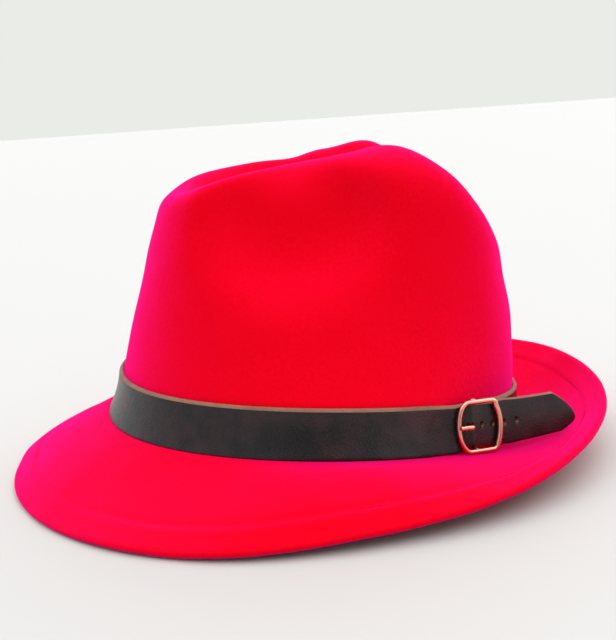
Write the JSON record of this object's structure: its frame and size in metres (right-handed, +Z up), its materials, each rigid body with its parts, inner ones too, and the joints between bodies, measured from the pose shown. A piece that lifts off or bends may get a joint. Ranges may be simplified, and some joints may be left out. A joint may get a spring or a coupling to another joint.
{
  "type": "trilby hat",
  "caption": "Felt hat with a creased and side-dented crown, a brim turned down in front and up at the back, and a leather belt band fastened by a buckle at one side.",
  "frame": {"origin": "on the surface that the hat stands on, under the middle of its bounding box", "axes": "the front of the hat at -Y and its back at +Y, the wearer's left with the buckle at +X, +Z up"},
  "size_m": [0.263, 0.3, 0.1517],
  "materials": {
    "felt": "brushed wool felt",
    "leather": "semi-gloss grained leather with a raw tan edge",
    "buckle_metal": "polished rose gold plating"
  },
  "bodies": {
    "root": {"felt_body": "felt", "leather_strap": "leather", "buckle_frame": "buckle_metal", "buckle_prong": "buckle_metal"}
  },
  "joints": []
}
